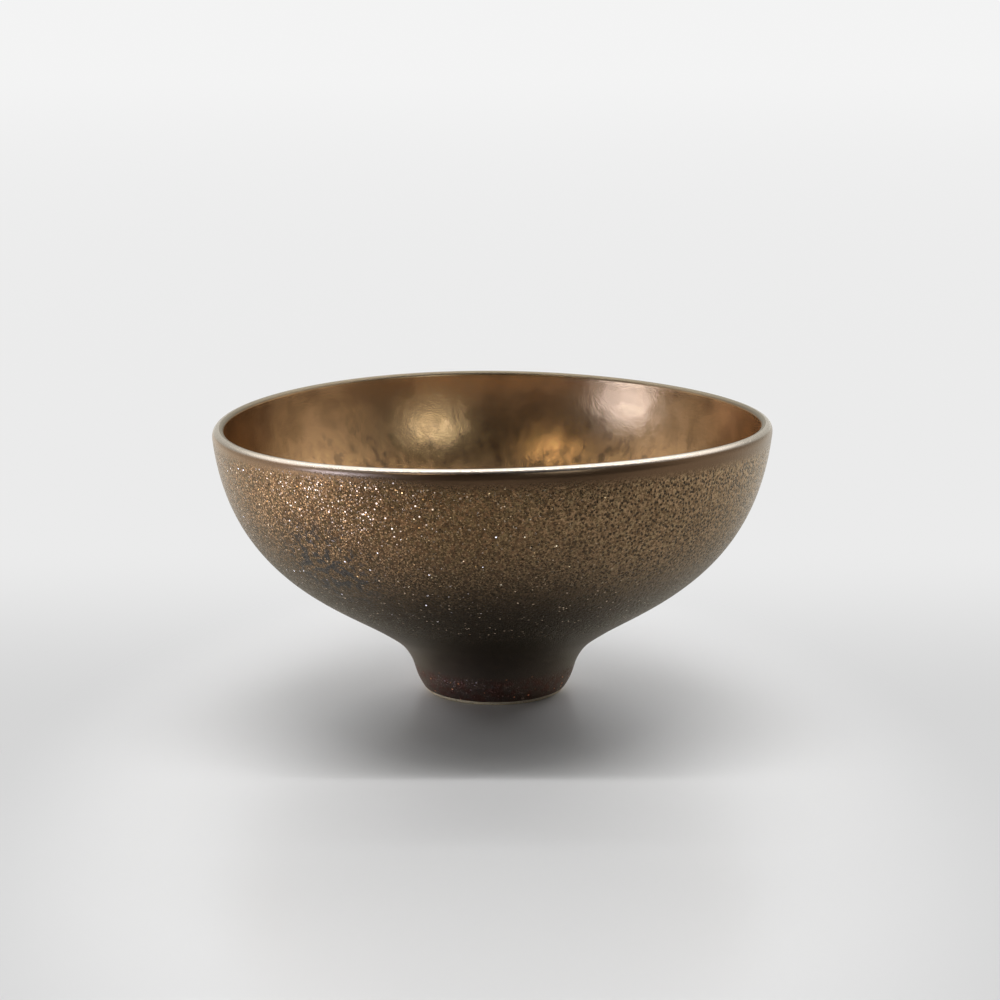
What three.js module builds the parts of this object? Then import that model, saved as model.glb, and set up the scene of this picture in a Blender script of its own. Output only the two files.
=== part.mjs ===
// A wheel-thrown stoneware sake cup: a wide open bowl on a narrow turned foot ring, with a
// metallic bronze glaze inside and out. The ring is luted to the bowl with slip, the glaze lies on
// the clay as thin fired coats, and the ring's standing face is wiped bare of it.
// Millimetres, +Z up. The origin is on the bowl's axis, in the plane that the cup stands on.
import * as THREE from "three";

// Driving dimensions
const LIP_RADIUS = 40; // outside, at the widest place, just under the lip
const CUP_HEIGHT = 40; // ground to the crest of the lip, mean over the round
const LIP_THICKNESS = 1.7; // glaze to glaze, just under the rounded lip
const WALL_THICKNESS = 3.0; // glaze to glaze, low in the bowl
const FLOOR_THICKNESS = 4.4; // clay under the well to the glaze in the middle of the bowl
const FOOT_BASE_RADIUS = 10.4; // outside of the foot ring's glaze, at the glaze line
const FOOT_TOP_RADIUS = 13.0; // outside of the foot ring's glaze, at the luted joint
const FOOT_HEIGHT = 6.3; // ground to the luted joint, which is also the depth of the well
const FOOT_OFFSET = 0.32; // how far along +X the ring is luted off the bowl's axis
const FOOT_EDGE = 0.5; // rounding of the standing face's two edges
const RING_THICKNESS = 2.6; // clay of the foot ring, at the mouth of the well
const WELL_TAPER = 0.6; // the well's radius is this much less at its ceiling
const GLAZE_THICKNESS = 0.35; // of each fired coat
const GLAZE_LINE = 0.7; // height of the bare clay outside the foot
const WELL_GLAZE_LINE = 1.4; // height of the bare clay inside the foot
const FUSED_GAP = 0.02; // between a coat and the clay that it is fused to

// The outside's sweep: leans are in degrees outwards from upright, reaches say how far the curve
// holds a lean before it turns
const FOOT_BASE_LEAN = 33;
const FOOT_TOP_LEAN = 35;
const FOOT_REACH = 2.95; // at both ends, so that the foot is waisted between them
const NECK_FLARE = 4.2; // how far the neck sweeps out from the joint
const NECK_RISE = 3.5; // and how far it rises on the way
const NECK_LEAN = 56;
const NECK_REACH = 9.1;
const LIP_LEAN = 5.3;
const LIP_REACH = 19.9;
const FLOOR_SPRING = 0.3; // share of the wall's curve below which the inside is the floor's

// What drying and firing did to the thrown shape: nothing at the foot, all of it at the lip
const LIP_TILT = 0.37; // the lip is this much higher at +X, and lower at -X
const LIP_SADDLE = 0.51; // the lip is this much lower at both X sides, and higher at both Y sides
const SADDLE_TURN = 17.5; // degrees that the saddle is turned about the axis
const OFFSET_RISE = 12.5; // above the joint, where the bowl has come back over its own axis

// How finely the curves are cut
const FACETS = 56;
const WALL_STEPS = 9;
const INSIDE_STEPS = 7;
const FLOOR_STEPS = 5;
const LIP_STEPS = 3;
const NECK_STEPS = 3;
const FOOT_STEPS = 4;
const EDGE_STEPS = 2;
const END_STEPS = 3;

const CLAY_DEPTH = GLAZE_THICKNESS + FUSED_GAP;
const LIP_ROUND = LIP_THICKNESS / 2;
const DEGREE = Math.PI / 180;
const BARE_CLAY = 0xb9a684;
const BRONZE = 0x5e452b;
const GOLD_BRONZE = 0x8a6a40;

const point = (radius, height) => new THREE.Vector2(radius, height);

// A point at a distance from another, in the direction of a lean
function along(from, lean, distance) {
  const step = point(Math.sin(lean * DEGREE), Math.cos(lean * DEGREE));
  return from.clone().addScaledVector(step, distance);
}

// A curve between two points that leaves and arrives at given leans
function sweep(from, fromLean, fromReach, to, toLean, toReach) {
  return new THREE.CubicBezierCurve(
    from,
    along(from, fromLean, fromReach),
    along(to, toLean, -toReach),
    to,
  );
}

// The point of a rising curve at a share of it, moved a depth towards the axis, square to the curve
function under(curve, share, depth) {
  const at = curve.getPoint(share);
  const direction = curve.getTangent(share);
  return point(at.x - direction.y * depth, at.y + direction.x * depth);
}

// The shares that cut a curve into equal steps, without its first one
const shares = (steps) =>
  Array.from({ length: steps }, (_, i) => (i + 1) / steps);

// An arc about a centre between two angles, in degrees from +X, without its first point
function arc(centre, radius, from, to, steps) {
  return shares(steps).map((share) => {
    const angle = (from + (to - from) * share) * DEGREE;
    return point(
      centre.x + radius * Math.cos(angle),
      centre.y + radius * Math.sin(angle),
    );
  });
}

// A half round from one point to another, on the right of the way between them, without its ends
function roundEnd(from, to) {
  const centre = from.clone().lerp(to, 0.5);
  const turns = shares(END_STEPS).slice(0, -1);
  return turns.map((share) =>
    from.clone().rotateAround(centre, share * Math.PI),
  );
}

const footBase = point(FOOT_BASE_RADIUS, GLAZE_LINE);
const joint = point(FOOT_TOP_RADIUS, FOOT_HEIGHT);
const neck = point(joint.x + NECK_FLARE, joint.y + NECK_RISE);
const lipCentre = point(LIP_RADIUS - LIP_ROUND, CUP_HEIGHT - LIP_ROUND);
const lipSide = along(lipCentre, 90 + LIP_LEAN, LIP_ROUND);
const neckReach = joint.distanceTo(neck) / 3;

const footCurve = sweep(
  footBase,
  FOOT_BASE_LEAN,
  FOOT_REACH,
  joint,
  FOOT_TOP_LEAN,
  FOOT_REACH,
);
const neckCurve = sweep(
  joint,
  FOOT_TOP_LEAN,
  neckReach,
  neck,
  NECK_LEAN,
  neckReach,
);
const wallCurve = sweep(
  neck,
  NECK_LEAN,
  NECK_REACH,
  lipSide,
  LIP_LEAN,
  LIP_REACH,
);

// The clay of the well's wall, from where its glaze ends up to the joint
const wellMouth = point(
  under(footCurve, 0, CLAY_DEPTH).x - RING_THICKNESS,
  WELL_GLAZE_LINE,
);
const wellCeiling = point(wellMouth.x - WELL_TAPER, FOOT_HEIGHT);

// Where a surface at a depth under the outside crosses the plane of the joint
const jointCorner = (depth) =>
  point(joint.x - depth / Math.cos(FOOT_TOP_LEAN * DEGREE), joint.y);

// The foot's outside at a depth, from the glaze line up to the joint
function footAt(depth) {
  const below = shares(FOOT_STEPS).slice(0, -1);
  return [
    under(footCurve, 0, depth),
    ...below.map((share) => under(footCurve, share, depth)),
    jointCorner(depth),
  ];
}

// The bowl's outside at a depth, from just above the joint up to the crest of the lip
function outsideAt(depth) {
  return [
    ...shares(NECK_STEPS).map((share) => under(neckCurve, share, depth)),
    ...shares(WALL_STEPS).map((share) => under(wallCurve, share, depth)),
    ...arc(lipCentre, LIP_ROUND - depth, -LIP_LEAN, 90, LIP_STEPS),
  ];
}

// The bowl's inside at a depth, from the crest of the lip down to the middle of the floor
function insideAt(depth) {
  const wallPoint = (share) => {
    const thickness = THREE.MathUtils.lerp(
      WALL_THICKNESS,
      LIP_THICKNESS,
      share,
    );
    return under(wallCurve, share, thickness - depth);
  };
  const rim = arc(lipCentre, LIP_ROUND - depth, 90, 180 - LIP_LEAN, LIP_STEPS);
  const wall = shares(INSIDE_STEPS).map((share) =>
    wallPoint(1 - share * (1 - FLOOR_SPRING)),
  );
  const spring = wall.at(-1);
  const slope = wallCurve.getTangent(FLOOR_SPRING);
  const reach = spring.x / 3;
  const middle = point(0, FOOT_HEIGHT + FLOOR_THICKNESS - depth);
  const floor = new THREE.CubicBezierCurve(
    spring,
    spring.clone().addScaledVector(slope, -reach),
    point(reach, middle.y),
    middle,
  );
  return [
    point(lipCentre.x, CUP_HEIGHT - depth),
    ...rim,
    ...wall,
    ...shares(FLOOR_STEPS).map((share) => floor.getPoint(share)),
  ];
}

// The offset of the foot, and what drying and firing did, move every piece by one rule, so that
// the pieces still lie on each other
function warp(geometry) {
  const at = geometry.getAttribute("position");
  for (let i = 0; i < at.count; i++) {
    const x = at.getX(i);
    const y = at.getY(i);
    const rise = Math.max(at.getZ(i) - FOOT_HEIGHT, 0);
    const amount = (rise / (CUP_HEIGHT - FOOT_HEIGHT)) ** 2;
    const reach = Math.hypot(x, y) / LIP_RADIUS;
    const angle = Math.atan2(y, x);
    const tilt = LIP_TILT * Math.cos(angle);
    const saddle = LIP_SADDLE * Math.cos(2 * (angle - SADDLE_TURN * DEGREE));
    const back = THREE.MathUtils.smoothstep(rise, 0, OFFSET_RISE);
    at.setX(i, x + FOOT_OFFSET * (1 - back));
    at.setZ(i, at.getZ(i) + (tilt - saddle) * reach * amount);
  }
  return geometry;
}

// A piece turned about +Z from a profile that has its material on its left
function turned(name, profile, color, roughness, metalness) {
  const geometry = new THREE.LatheGeometry(profile, FACETS);
  geometry.rotateX(Math.PI / 2);
  const material = new THREE.MeshStandardMaterial({
    color,
    roughness,
    metalness,
  });
  const mesh = new THREE.Mesh(warp(geometry), material);
  mesh.name = name;
  return mesh;
}

const closed = (points) => [...points, points[0].clone()];

// The clay bowl between the two coats, with a flat seat under it for the ring
function thrownBowl() {
  return [
    point(0, FOOT_HEIGHT),
    jointCorner(CLAY_DEPTH),
    ...outsideAt(CLAY_DEPTH),
    ...insideAt(CLAY_DEPTH).slice(1),
  ];
}

// The luted ring, bare on its rounded standing face
function footRing() {
  const side = footAt(CLAY_DEPTH);
  const outerEdge = point(side[0].x - FOOT_EDGE, FOOT_EDGE);
  const innerEdge = point(wellMouth.x + FOOT_EDGE, FOOT_EDGE);
  return closed([
    point(outerEdge.x, 0),
    ...arc(outerEdge, FOOT_EDGE, -90, 0, EDGE_STEPS),
    ...side,
    wellCeiling,
    wellMouth,
    point(wellMouth.x, FOOT_EDGE),
    ...arc(innerEdge, FOOT_EDGE, 180, 270, EDGE_STEPS),
  ]);
}

// The coat on the foot's side and the bowl's outside, from a round end up to the crest of the lip
function outerGlaze() {
  const coat = (depth) => [...footAt(depth), ...outsideAt(depth)];
  const face = coat(0);
  const back = coat(GLAZE_THICKNESS);
  return closed([...face, ...back.toReversed(), ...roundEnd(back[0], face[0])]);
}

// The coat poured into the bowl, from its middle up to the crest of the lip
function innerGlaze() {
  return [...insideAt(GLAZE_THICKNESS).toReversed(), ...insideAt(0)];
}

// The coat on the well's ceiling and on the upper part of its wall
function footWellGlaze() {
  const wallAt = (depth) => [
    point(wellCeiling.x - depth, wellCeiling.y - depth),
    point(wellMouth.x - depth, wellMouth.y),
  ];
  const face = wallAt(CLAY_DEPTH);
  const back = wallAt(FUSED_GAP);
  return [
    point(0, face[0].y),
    ...face,
    ...roundEnd(face[1], back[1]),
    ...back.toReversed(),
    point(0, back[0].y),
  ];
}

const cup = new THREE.Group();
cup.add(
  turned("thrown_bowl", thrownBowl(), BARE_CLAY, 0.9, 0),
  turned("foot_ring", footRing(), BARE_CLAY, 0.9, 0),
  turned("outer_glaze", outerGlaze(), BRONZE, 0.38, 0.85),
  turned("inner_glaze", innerGlaze(), GOLD_BRONZE, 0.3, 0.9),
  turned("foot_well_glaze", footWellGlaze(), BRONZE, 0.38, 0.85),
);

export default cup;
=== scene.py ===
# %% [markdown]
# # A sake cup with a metallic bronze glaze
# The cup is thrown on a wheel from stoneware clay, trimmed, set on a luted foot ring and glazed
# inside and out. Everything on it is round about one axis, so one profile, turned about Z, makes
# every piece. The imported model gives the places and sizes, and the finer meshes made here stand
# for its pieces one by one.

# %% Load the frame
import math
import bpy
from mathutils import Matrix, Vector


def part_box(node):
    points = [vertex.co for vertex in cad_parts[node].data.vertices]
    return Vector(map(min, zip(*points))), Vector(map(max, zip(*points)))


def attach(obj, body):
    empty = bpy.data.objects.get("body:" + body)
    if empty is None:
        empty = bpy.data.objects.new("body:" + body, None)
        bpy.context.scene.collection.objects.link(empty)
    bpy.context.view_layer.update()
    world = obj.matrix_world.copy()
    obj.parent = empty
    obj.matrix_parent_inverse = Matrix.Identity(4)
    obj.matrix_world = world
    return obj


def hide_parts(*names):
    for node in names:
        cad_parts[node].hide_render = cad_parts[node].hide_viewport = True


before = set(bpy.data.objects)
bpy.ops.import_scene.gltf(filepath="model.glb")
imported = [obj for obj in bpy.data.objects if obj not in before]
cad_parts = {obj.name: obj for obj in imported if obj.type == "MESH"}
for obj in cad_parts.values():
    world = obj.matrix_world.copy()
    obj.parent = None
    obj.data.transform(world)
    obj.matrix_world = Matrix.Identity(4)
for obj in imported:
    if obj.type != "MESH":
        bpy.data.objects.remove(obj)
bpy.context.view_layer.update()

from types import SimpleNamespace

import bpy
from mathutils import Vector

MM = 0.001
print("pieces in the frame:", ", ".join(sorted(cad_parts)))

# %% [markdown]
# ## The camera
# A camera is known once its lens, its place and its direction are. Here the cup stands at the
# origin and the camera looks along +Y, so only its distance, its height and how far it looks down
# are left. They could be found by moving it about until the cup looks right. These come from
# fitting the cup's outline, which finds all of them at once. The lens is a short telephoto, as for
# most pictures of small pottery, because a nearer and wider one would stretch the near lip.

# %% Set up the camera
CAMERA_DISTANCE = 353.4 * MM
CAMERA_HEIGHT = 104.3 * MM
CAMERA_ASIDE = 1.1 * MM
LOOKS_DOWN = math.radians(12.2)
SENSOR_WIDTH = 36.0
LENS = 90.2

camera_data = bpy.data.cameras.new("camera")
camera_data.sensor_width = SENSOR_WIDTH
camera_data.lens = LENS
camera_data.clip_start = 10 * MM
camera = bpy.data.objects.new("camera", camera_data)
camera.location = (CAMERA_ASIDE, -CAMERA_DISTANCE, CAMERA_HEIGHT)
camera.rotation_euler = (math.radians(90) - LOOKS_DOWN, 0, 0)
bpy.context.scene.collection.objects.link(camera)
bpy.context.scene.camera = camera
print("camera at", [round(value, 4) for value in camera.location])

# %% [markdown]
# ## Writing node trees as Python
# Materials and Geometry Nodes are both trees of nodes. Made one socket at a time they are hard to
# read, so two small classes do the wiring. `Graph.add` makes any node from its type, its settings
# and what goes into its sockets. `Socket` wraps one output, and Python's operators on it add the
# Math nodes, so a sum on the page is the same sum in the tree.


# %% A socket that can be calculated with
class Socket:
    """One output of a node. An operator on it adds a Math node to its tree."""

    def __init__(self, graph, socket):
        self.graph = graph
        self.socket = socket

    def maths(self, operation, *values):
        return self.graph.add("ShaderNodeMath", {"operation": operation}, dict(enumerate(values)))[0]

    def __add__(self, other):
        return self.maths("ADD", self, other)

    def __sub__(self, other):
        return self.maths("SUBTRACT", self, other)

    def __rsub__(self, other):
        return self.maths("SUBTRACT", other, self)

    def __mul__(self, other):
        return self.maths("MULTIPLY", self, other)

    def __truediv__(self, other):
        return self.maths("DIVIDE", self, other)

    def __neg__(self):
        return self.maths("MULTIPLY", self, -1)

    def __abs__(self):
        return self.maths("ABSOLUTE", self)

    __radd__ = __add__
    __rmul__ = __mul__

    def at_least(self, other):
        return self.maths("MAXIMUM", self, other)

    def at_most(self, other):
        return self.maths("MINIMUM", self, other)


print("sockets can be added and multiplied")


# %% A graph that makes nodes
class Node:
    """A node whose outputs are taken by name or number."""

    def __init__(self, graph, node):
        self.graph = graph
        self.node = node

    def __getitem__(self, name):
        return Socket(self.graph, self.node.outputs[name])


class Graph:
    """Builds one node tree."""

    def __init__(self, tree):
        self.tree = tree

    def add(self, kind, settings=None, sockets=None):
        """A node of that kind. Settings are set first, then the sockets get values or links."""
        node = self.tree.nodes.new(kind)
        for name, value in (settings or {}).items():
            setattr(node, name, value)
        for name, value in (sockets or {}).items():
            if isinstance(value, Socket):
                self.tree.links.new(value.socket, node.inputs[name])
            else:
                node.inputs[name].default_value = value
        return Node(self, node)


print("graphs can make nodes")


# %% Two nodes that are used all over
def between(value, none, full):
    """0 up to where the value is at none, 1 from full on, smooth on the way. Either may be larger."""
    return value.graph.add(
        "ShaderNodeMapRange",
        {"interpolation_type": "SMOOTHSTEP"},
        {"Value": value, "From Min": none, "From Max": full},
    )[0]


def noise(graph, place, size, detail=2.0, roughness=0.5):
    """A cloudy pattern around 0.5 whose spots are about as large as the size."""
    return graph.add(
        "ShaderNodeTexNoise",
        {},
        {"Vector": place, "Scale": 1 / size, "Detail": detail, "Roughness": roughness},
    )[0]


print("steps and noises ready")

# %% [markdown]
# ## The cup's profile
# A potter's cup is its profile: a short slanted foot, a neck that sweeps out, a wall that turns
# nearly upright, a rounded lip, and an inside that follows the outside at the wall's thickness. It
# could be drawn as a curve by hand. Here it is worked out from a few sizes, the same ones that the
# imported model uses, so that the coats and the clay stay parallel at any fineness. Only the lip is
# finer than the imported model's: the melted glaze has softened its outside to a shoulder under a
# round crest, and in a mirror that draws a dark line under the bright one.

# %% Sizes of the pieces, from the frame where it has them
outer_low, outer_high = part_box("outer_glaze")
LIP_RADIUS = (outer_high[1] - outer_low[1]) / 2
FOOT_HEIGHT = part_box("thrown_bowl")[0][2]
CUP_HEIGHT = 40.0 * MM
LIP_THICKNESS = 1.7 * MM
WALL_THICKNESS = 3.0 * MM
FLOOR_THICKNESS = 4.4 * MM
FOOT_BASE_RADIUS = 10.4 * MM
FOOT_TOP_RADIUS = 13.0 * MM
FOOT_EDGE = 0.5 * MM
RING_THICKNESS = 2.6 * MM
WELL_TAPER = 0.6 * MM
GLAZE_THICKNESS = 0.35 * MM
GLAZE_LINE = 0.7 * MM
WELL_GLAZE_LINE = 1.4 * MM
FUSED_GAP = 0.02 * MM
CLAY_DEPTH = GLAZE_THICKNESS + FUSED_GAP
print("lip radius", round(LIP_RADIUS / MM, 2), "mm, foot height", round(FOOT_HEIGHT / MM, 2), "mm")

# %% Slants of the outline, in degrees from upright, and how far each is followed
FOOT_BASE_LEAN = 33
FOOT_TOP_LEAN = 35
FOOT_REACH = 2.95 * MM
NECK_FLARE = 4.2 * MM
NECK_RISE = 3.5 * MM
NECK_LEAN = 56
NECK_REACH = 9.1 * MM
LIP_LEAN = 5.3
LIP_REACH = 19.9 * MM
FLOOR_SPRING = 0.3
print("the wall turns from", NECK_LEAN, "to", LIP_LEAN, "degrees")


# %% Points and rounds
def along(start, lean, distance):
    """A point at a distance from the start, in a direction that leans outwards from upright."""
    angle = math.radians(lean)
    return start + distance * Vector((math.sin(angle), math.cos(angle)))


def shares(steps):
    """Even shares of the way, up to 1 and without 0."""
    return [(i + 1) / steps for i in range(steps)]


def arc(centre, radius, start, end, steps):
    """Points of a round, from a start angle, which is left out, to an end angle, in degrees."""
    angles = [math.radians(start + (end - start) * share) for share in shares(steps)]
    return [centre + radius * Vector((math.cos(angle), math.sin(angle))) for angle in angles]


def round_end(start, end, steps):
    """A half round from one point to another, on the right of the way, without its ends."""
    middle = (start + end) / 2
    out = start - middle
    turned_out = Vector((-out.y, out.x))
    turns = [math.pi * share for share in shares(steps)[:-1]]
    return [middle + math.cos(turn) * out + math.sin(turn) * turned_out for turn in turns]


print("points of a quarter round in 8 steps:", len(arc(Vector((0, 0)), 1, 0, 90, 8)))


# %% Sweeping curves
class Sweep:
    """A curve from its first point to its fourth, drawn towards the two between them."""

    def __init__(self, *points):
        self.points = points

    def at(self, share):
        a, b, c, d = self.points
        rest = 1 - share
        return rest**3 * a + 3 * rest**2 * share * b + 3 * rest * share**2 * c + share**3 * d

    def direction(self, share):
        a, b, c, d = self.points
        rest = 1 - share
        return (rest**2 * (b - a) + 2 * rest * share * (c - b) + share**2 * (d - c)).normalized()

    def under(self, share, depth):
        """The curve's point, moved a depth towards the axis, square to the curve."""
        way = self.direction(share)
        return self.at(share) + depth * Vector((-way.y, way.x))


def slanted(start, start_lean, start_reach, end, end_lean, end_reach):
    """A curve that leaves its start and reaches its end at given leans from upright."""
    return Sweep(start, along(start, start_lean, start_reach), along(end, end_lean, -end_reach), end)


print("a sweep has four points")

# %% The curves of the outside
foot_base = Vector((FOOT_BASE_RADIUS, GLAZE_LINE))
joint = Vector((FOOT_TOP_RADIUS, FOOT_HEIGHT))
neck = joint + Vector((NECK_FLARE, NECK_RISE))
neck_reach = (neck - joint).length / 3
lip_round = LIP_THICKNESS / 2
lip_side = along(Vector((LIP_RADIUS - lip_round, CUP_HEIGHT - lip_round)), 90 + LIP_LEAN, lip_round)
foot_curve = slanted(foot_base, FOOT_BASE_LEAN, FOOT_REACH, joint, FOOT_TOP_LEAN, FOOT_REACH)
neck_curve = slanted(joint, FOOT_TOP_LEAN, neck_reach, neck, NECK_LEAN, neck_reach)
wall_curve = slanted(neck, NECK_LEAN, NECK_REACH, lip_side, LIP_LEAN, LIP_REACH)
print("wall rises from", round(neck.y / MM, 1), "to", round(lip_side.y / MM, 1), "mm")

# %% The rounds of the lip
CREST_INNER_ROUND = 0.68 * MM
CREST_OUTER_ROUND = 0.911 * MM
SHOULDER_ROUND = 1.8 * MM
SHOULDER_TURN = 20
WALL_TOP = 0.992
WALL_TOP_LEAN = 5.9

lean = math.radians(LIP_LEAN)
inner_end = wall_curve.under(1, LIP_THICKNESS)
spring_height = CUP_HEIGHT - CREST_INNER_ROUND * (1 - math.sin(lean))
spring_radius = inner_end.x + (spring_height - inner_end.y) * math.tan(lean)
crest_radius = spring_radius + CREST_INNER_ROUND * math.cos(lean)
inner_round = Vector((crest_radius, CUP_HEIGHT - CREST_INNER_ROUND))
outer_round = Vector((crest_radius, CUP_HEIGHT - CREST_OUTER_ROUND))
shoulder = along(outer_round, 90 - SHOULDER_TURN, CREST_OUTER_ROUND - SHOULDER_ROUND)
print("crest at a radius of", round(crest_radius / MM, 2), "mm")

# %% The outside at a depth under the surface
FOOT_STEPS = 24
NECK_STEPS = 16
WALL_STEPS = 90
SHOULDER_STEPS = 8
CREST_STEPS = 14


def joint_corner(depth):
    return Vector((joint.x - depth / math.cos(math.radians(FOOT_TOP_LEAN)), joint.y))


def foot_at(depth):
    """The foot's side, from the glaze line up to the joint."""
    up_to_joint = [0.0, *shares(FOOT_STEPS)[:-1]]
    return [foot_curve.under(share, depth) for share in up_to_joint] + [joint_corner(depth)]


def outside_at(depth):
    """The bowl's outside, from just above the joint up to the crest of the lip."""
    return (
        [neck_curve.under(share, depth) for share in shares(NECK_STEPS)]
        + [wall_curve.under(share * WALL_TOP, depth) for share in shares(WALL_STEPS)]
        + arc(shoulder, SHOULDER_ROUND - depth, -WALL_TOP_LEAN, SHOULDER_TURN, SHOULDER_STEPS)
        + arc(outer_round, CREST_OUTER_ROUND - depth, SHOULDER_TURN, 90, CREST_STEPS)
    )


print("points from the glaze line to the crest:", len(foot_at(0)) + len(outside_at(0)))

# %% The inside at a depth under the surface
INSIDE_STEPS = 80
FLOOR_STEPS = 34


def inside_wall(depth):
    """The wall from the lip down to where the floor springs, thicker on the way."""
    points = []
    for share in shares(INSIDE_STEPS):
        height = 1 - share * (1 - FLOOR_SPRING)
        thickness = WALL_THICKNESS + (LIP_THICKNESS - WALL_THICKNESS) * height
        points.append(wall_curve.under(height, thickness - depth))
    return points


def inside_floor(spring, depth):
    """From the wall's end to the middle of the floor, level there."""
    middle = Vector((0, FOOT_HEIGHT + FLOOR_THICKNESS - depth))
    reach = spring.x / 3
    going_on = spring - reach * wall_curve.direction(FLOOR_SPRING)
    floor = Sweep(spring, going_on, Vector((reach, middle.y)), middle)
    return [floor.at(share) for share in shares(FLOOR_STEPS)]


def inside_at(depth):
    """The bowl's inside, from the crest of the lip down to the middle of the floor."""
    crest = [Vector((crest_radius, CUP_HEIGHT - depth))]
    rim = arc(inner_round, CREST_INNER_ROUND - depth, 90, 180 - LIP_LEAN, CREST_STEPS)
    wall = inside_wall(depth)
    return crest + rim + wall + inside_floor(wall[-1], depth)


print("points from the crest to the floor's middle:", len(inside_at(0)))

# %% [markdown]
# ## Turning the profile
# A lathe in Blender can be the Screw modifier, the Spin operator or Geometry Nodes. Geometry Nodes
# are used here because the cup isn't quite round: its foot was luted a little off the axis, and
# drying and firing tilted the lip and let it sag at two sides. The tree bends a grid round the
# axis, one row of its points for each point of the profile, and adds that warp on the way, so every
# piece gets the same one. It also lets the glaze's lower edge wander, as a wiped edge does, and
# stores each point's height as thrown, which the finishes read to find the lip and the foot.

# %% What potting, drying and firing did to the round shape
LIP_TILT = 0.37 * MM
LIP_SADDLE = 0.51 * MM
SADDLE_TURN = math.radians(17.5)
FOOT_OFFSET = 0.32 * MM
OFFSET_RISE = 12.5 * MM
LINE_WANDER = 0.3 * MM
LINE_WAVES = 1.6
LINE_FADE = 1.6 * MM


def wandering(graph, given, cosine, sine, height):
    """How far the glaze's lower edge has moved up or down the foot, which fades out above it."""
    ring = graph.add("ShaderNodeCombineXYZ", {}, {"X": cosine, "Y": sine})[0]
    wander = (noise(graph, ring, 1 / LINE_WAVES) - 0.5) * given["Line Wander"]
    return wander * (1 - between(height, GLAZE_LINE, GLAZE_LINE + LINE_FADE))


def warp(graph, given, radius, height, angle):
    """The place of a point of the round shape on the real cup."""
    cosine = angle.maths("COSINE", angle)
    sine = angle.maths("SINE", angle)
    line = wandering(graph, given, cosine, sine, height)
    radius = radius + line * math.sin(math.radians(FOOT_BASE_LEAN))
    rise = (height - given["Foot Height"]).at_least(0)
    share = rise / (given["Cup Height"] - given["Foot Height"])
    turned_twice = (angle - given["Saddle Turn"]) * 2
    saddle = given["Lip Saddle"] * angle.maths("COSINE", turned_twice)
    lift = (given["Lip Tilt"] * cosine - saddle) * radius / given["Lip Radius"] * share * share
    aside = given["Foot Offset"] * (1 - between(rise, 0, given["Offset Rise"]))
    upwards = height + line * math.cos(math.radians(FOOT_BASE_LEAN)) + lift
    place = {"X": radius * cosine + aside, "Y": radius * sine, "Z": upwards}
    return graph.add("ShaderNodeCombineXYZ", {}, place)[0]


print("the lip rises and sags by up to", round((LIP_TILT + LIP_SADDLE) / MM, 2), "mm")

# %% The end of the tree
WELD_DISTANCE = 0.002 * MM
CREASE_ANGLE = math.radians(40)


def finish_tree(graph, given, bent):
    """Welds the seam and the poles, shades the surface and gives it its material."""
    welded = graph.add("GeometryNodeMergeByDistance", {}, {"Geometry": bent, "Distance": WELD_DISTANCE})[0]
    smooth = graph.add("GeometryNodeSetShadeSmooth", {"domain": "FACE"}, {"Geometry": welded})[0]
    edge = graph.add("GeometryNodeInputMeshEdgeAngle")["Unsigned Angle"]
    sharp = edge.maths("GREATER_THAN", edge, CREASE_ANGLE)
    creased = graph.add(
        "GeometryNodeSetShadeSmooth",
        {"domain": "EDGE"},
        {"Geometry": smooth, "Selection": sharp, "Shade Smooth": False},
    )[0]
    whole = graph.add("GeometryNodeRealizeInstances", {}, {"Geometry": creased})[0]
    given_material = {"Geometry": whole, "Material": given["Material"]}
    painted = graph.add("GeometryNodeSetMaterial", {}, given_material)[0]
    graph.add("NodeGroupOutput", {}, {"Turned": painted})


print("edges over", round(math.degrees(CREASE_ANGLE)), "degrees stay sharp")

# %% The lathe
THROWN_HEIGHT = "thrown_height"
LATHE_SIZES = {
    "Foot Height": FOOT_HEIGHT,
    "Cup Height": CUP_HEIGHT,
    "Lip Radius": LIP_RADIUS,
    "Lip Tilt": LIP_TILT,
    "Lip Saddle": LIP_SADDLE,
    "Saddle Turn": SADDLE_TURN,
    "Foot Offset": FOOT_OFFSET,
    "Offset Rise": OFFSET_RISE,
    "Line Wander": 0.0,
}


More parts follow.
